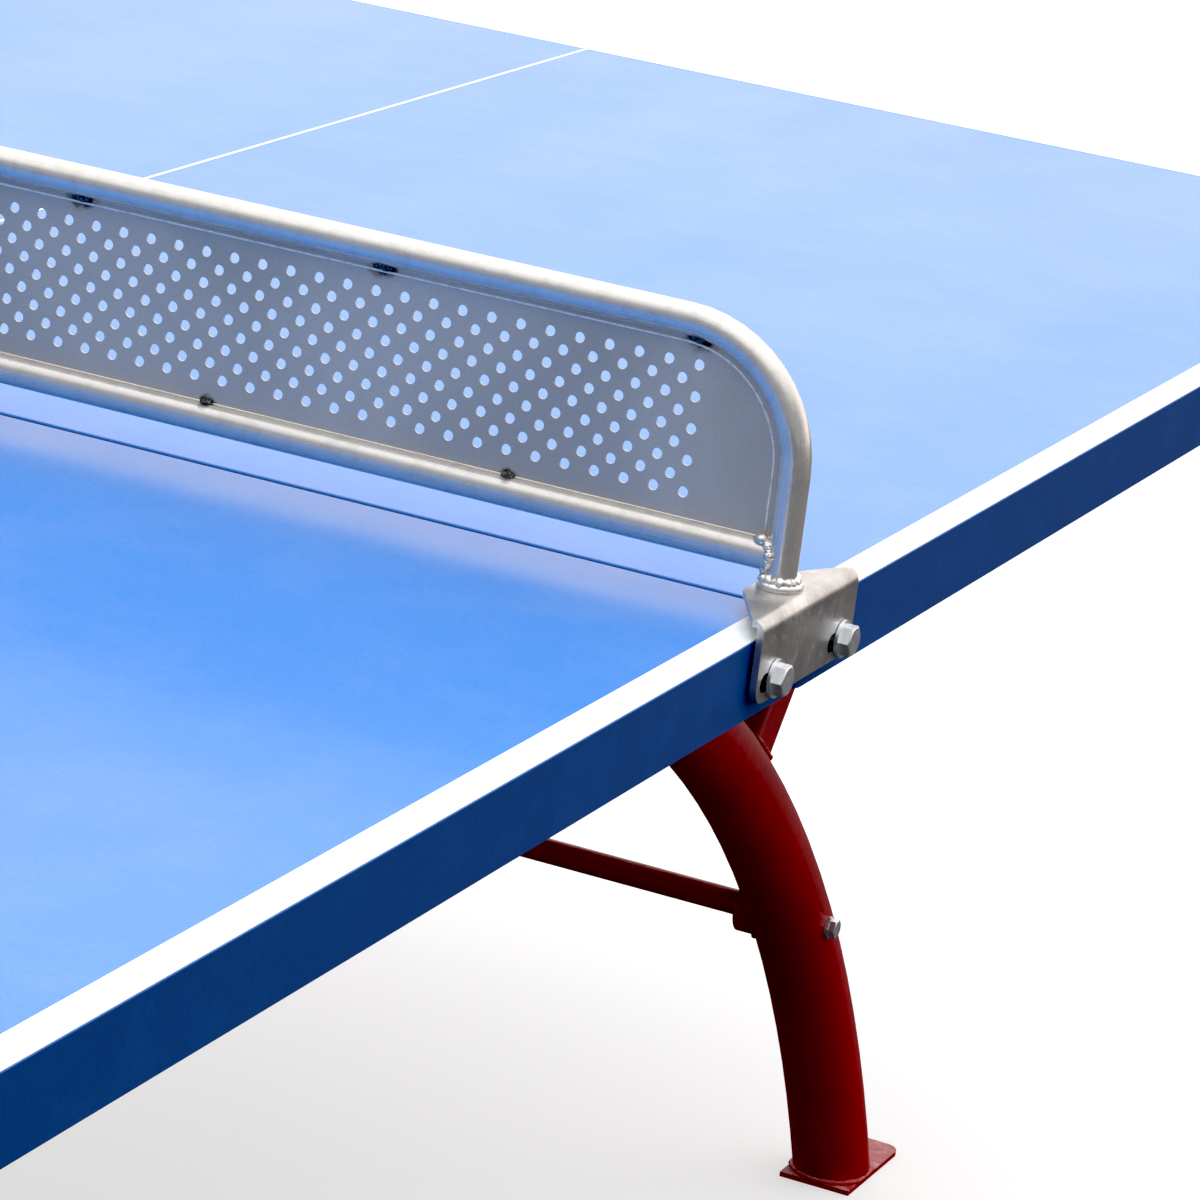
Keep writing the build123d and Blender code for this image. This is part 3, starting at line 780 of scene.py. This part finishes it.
def makeRailWelds():
    # short beads up both sides of every crossmember end, on the rails
    welds = bmesh.new()
    for end in ("front", "rear"):
        for which in ("inner", "middle", "outer"):
            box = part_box(f"{end}_{which}_crossmember")
            for hand in (-1, 1):
                x = (box[1][0] if hand > 0 else box[0][0]) - hand * 0.8 * mm
                for y, outward in ((box[0][1], -1), (box[1][1], 1)):
                    start = Vector((x, y + outward * 0.8 * mm, box[0][2] + 3 * mm))
                    finish = Vector((x, y + outward * 0.8 * mm, box[1][2] - 4 * mm))
                    layBead(welds, alongLine(start, finish, 2.2 * mm), 2.0 * mm, False)
    showPiece("rail_welds", welds, galvanised, "table")


makeFootWelds()
makeStrutWelds()
makeBarWelds()
makeCrownWelds()
makeRailWelds()

studio = {
    "floorSize": 45.0,
    "floorSeen": (0.52, 0.52, 0.53, 1),
    "floorGlow": (0.56, 0.56, 0.56, 1),
    "floorBounce": (0.075, 0.075, 0.08, 1),
    "front": (0.36, 0.36, 0.37, 1),
    "back": (1.62, 1.46, 1.38, 1),
    "zenith": (1.60, 1.57, 1.54, 1),
    "seen": (1.0, 1.0, 1.0, 1),
}


def makeFloor():
    # the floor looks pale; what it throws back on the object is weaker, as outdoor ground does
    grid = bmesh.new()
    bmesh.ops.create_grid(grid, x_segments=2, y_segments=2, size=studio["floorSize"])
    data = bpy.data.meshes.new("floor")
    grid.to_mesh(data)
    grid.free()
    material = bpy.data.materials.new("paleFloor")
    material.use_nodes = True
    tree = material.node_tree
    tree.nodes.clear()
    lit = addNode(tree, "ShaderNodeBsdfDiffuse", {"Color": studio["floorSeen"]}).outputs[0]
    glow = addNode(tree, "ShaderNodeEmission", {"Color": studio["floorGlow"]}).outputs[0]
    seen = addNode(tree, "ShaderNodeAddShader", {0: lit, 1: glow}).outputs[0]
    bounce = addNode(tree, "ShaderNodeBsdfDiffuse", {"Color": studio["floorBounce"]}).outputs[0]
    ray = addNode(tree, "ShaderNodeLightPath").outputs["Is Camera Ray"]
    mix = addNode(tree, "ShaderNodeMixShader", {0: ray, 1: bounce, 2: seen}).outputs[0]
    addNode(tree, "ShaderNodeOutputMaterial", {"Surface": mix})
    data.materials.append(material)
    floor = bpy.data.objects.new("floor", data)
    bpy.context.collection.objects.link(floor)


def makeWorld():
    # soft sky: bright overhead and behind the table, dim in front
    world = bpy.data.worlds.new("softSky")
    bpy.context.scene.world = world
    world.use_nodes = True
    tree = world.node_tree
    tree.nodes.clear()
    direction = addNode(tree, "ShaderNodeSeparateXYZ",
                        {0: addNode(tree, "ShaderNodeTexCoord").outputs["Generated"]})
    behind = mapRange(tree, direction.outputs[1], -0.1, 0.75)
    low = mixColour(tree, behind, studio["front"], studio["back"])
    overhead = mapRange(tree, direction.outputs[2], 0.30, 0.80)
    sky = mixColour(tree, overhead, low, studio["zenith"])
    ray = addNode(tree, "ShaderNodeLightPath").outputs["Is Camera Ray"]
    colour = mixColour(tree, ray, sky, studio["seen"])
    background = addNode(tree, "ShaderNodeBackground", {"Color": colour}).outputs[0]
    addNode(tree, "ShaderNodeOutputWorld", {"Surface": background})


def makeSoftbox(name, place, aim, size, power):
    light = bpy.data.lights.new(name, "AREA")
    light.shape = "RECTANGLE"
    light.size, light.size_y = size
    light.energy = power
    box = bpy.data.objects.new(name, light)
    bpy.context.collection.objects.link(box)
    box.location = place
    box.rotation_euler = (Vector(aim) - Vector(place)).to_track_quat("-Z", "Y").to_euler()


makeFloor()
makeWorld()
makeSoftbox("overheadSoftbox", (0.6, 0.8, 4.6), (0, 0, 0.7), (3.4, 3.4), 90)

camera = {
    "place": (1.7164, -2.5570, 1.5777),
    "heading": radians(22.802),
    "pitch": radians(16.839),
    "roll": radians(7.132),
    "lens": 155.8,
}


def makeCamera():
    data = bpy.data.cameras.new("camera")
    data.lens = camera["lens"]
    data.clip_end = 200.0
    view = bpy.data.objects.new("camera", data)
    bpy.context.collection.objects.link(view)
    turn = Matrix.Rotation(camera["heading"], 4, "Z")
    tilt = Matrix.Rotation(pi / 2 - camera["pitch"], 4, "X")
    lean = Matrix.Rotation(camera["roll"], 4, "Z")
    view.matrix_world = Matrix.Translation(camera["place"]) @ turn @ tilt @ lean
    bpy.context.scene.camera = view


makeCamera()
film = bpy.context.scene.view_settings
film.view_transform = "Standard"
film.use_curve_mapping = True
film.curve_mapping.black_level = (0.02, 0.02, 0.02)
print("studio and camera ready")
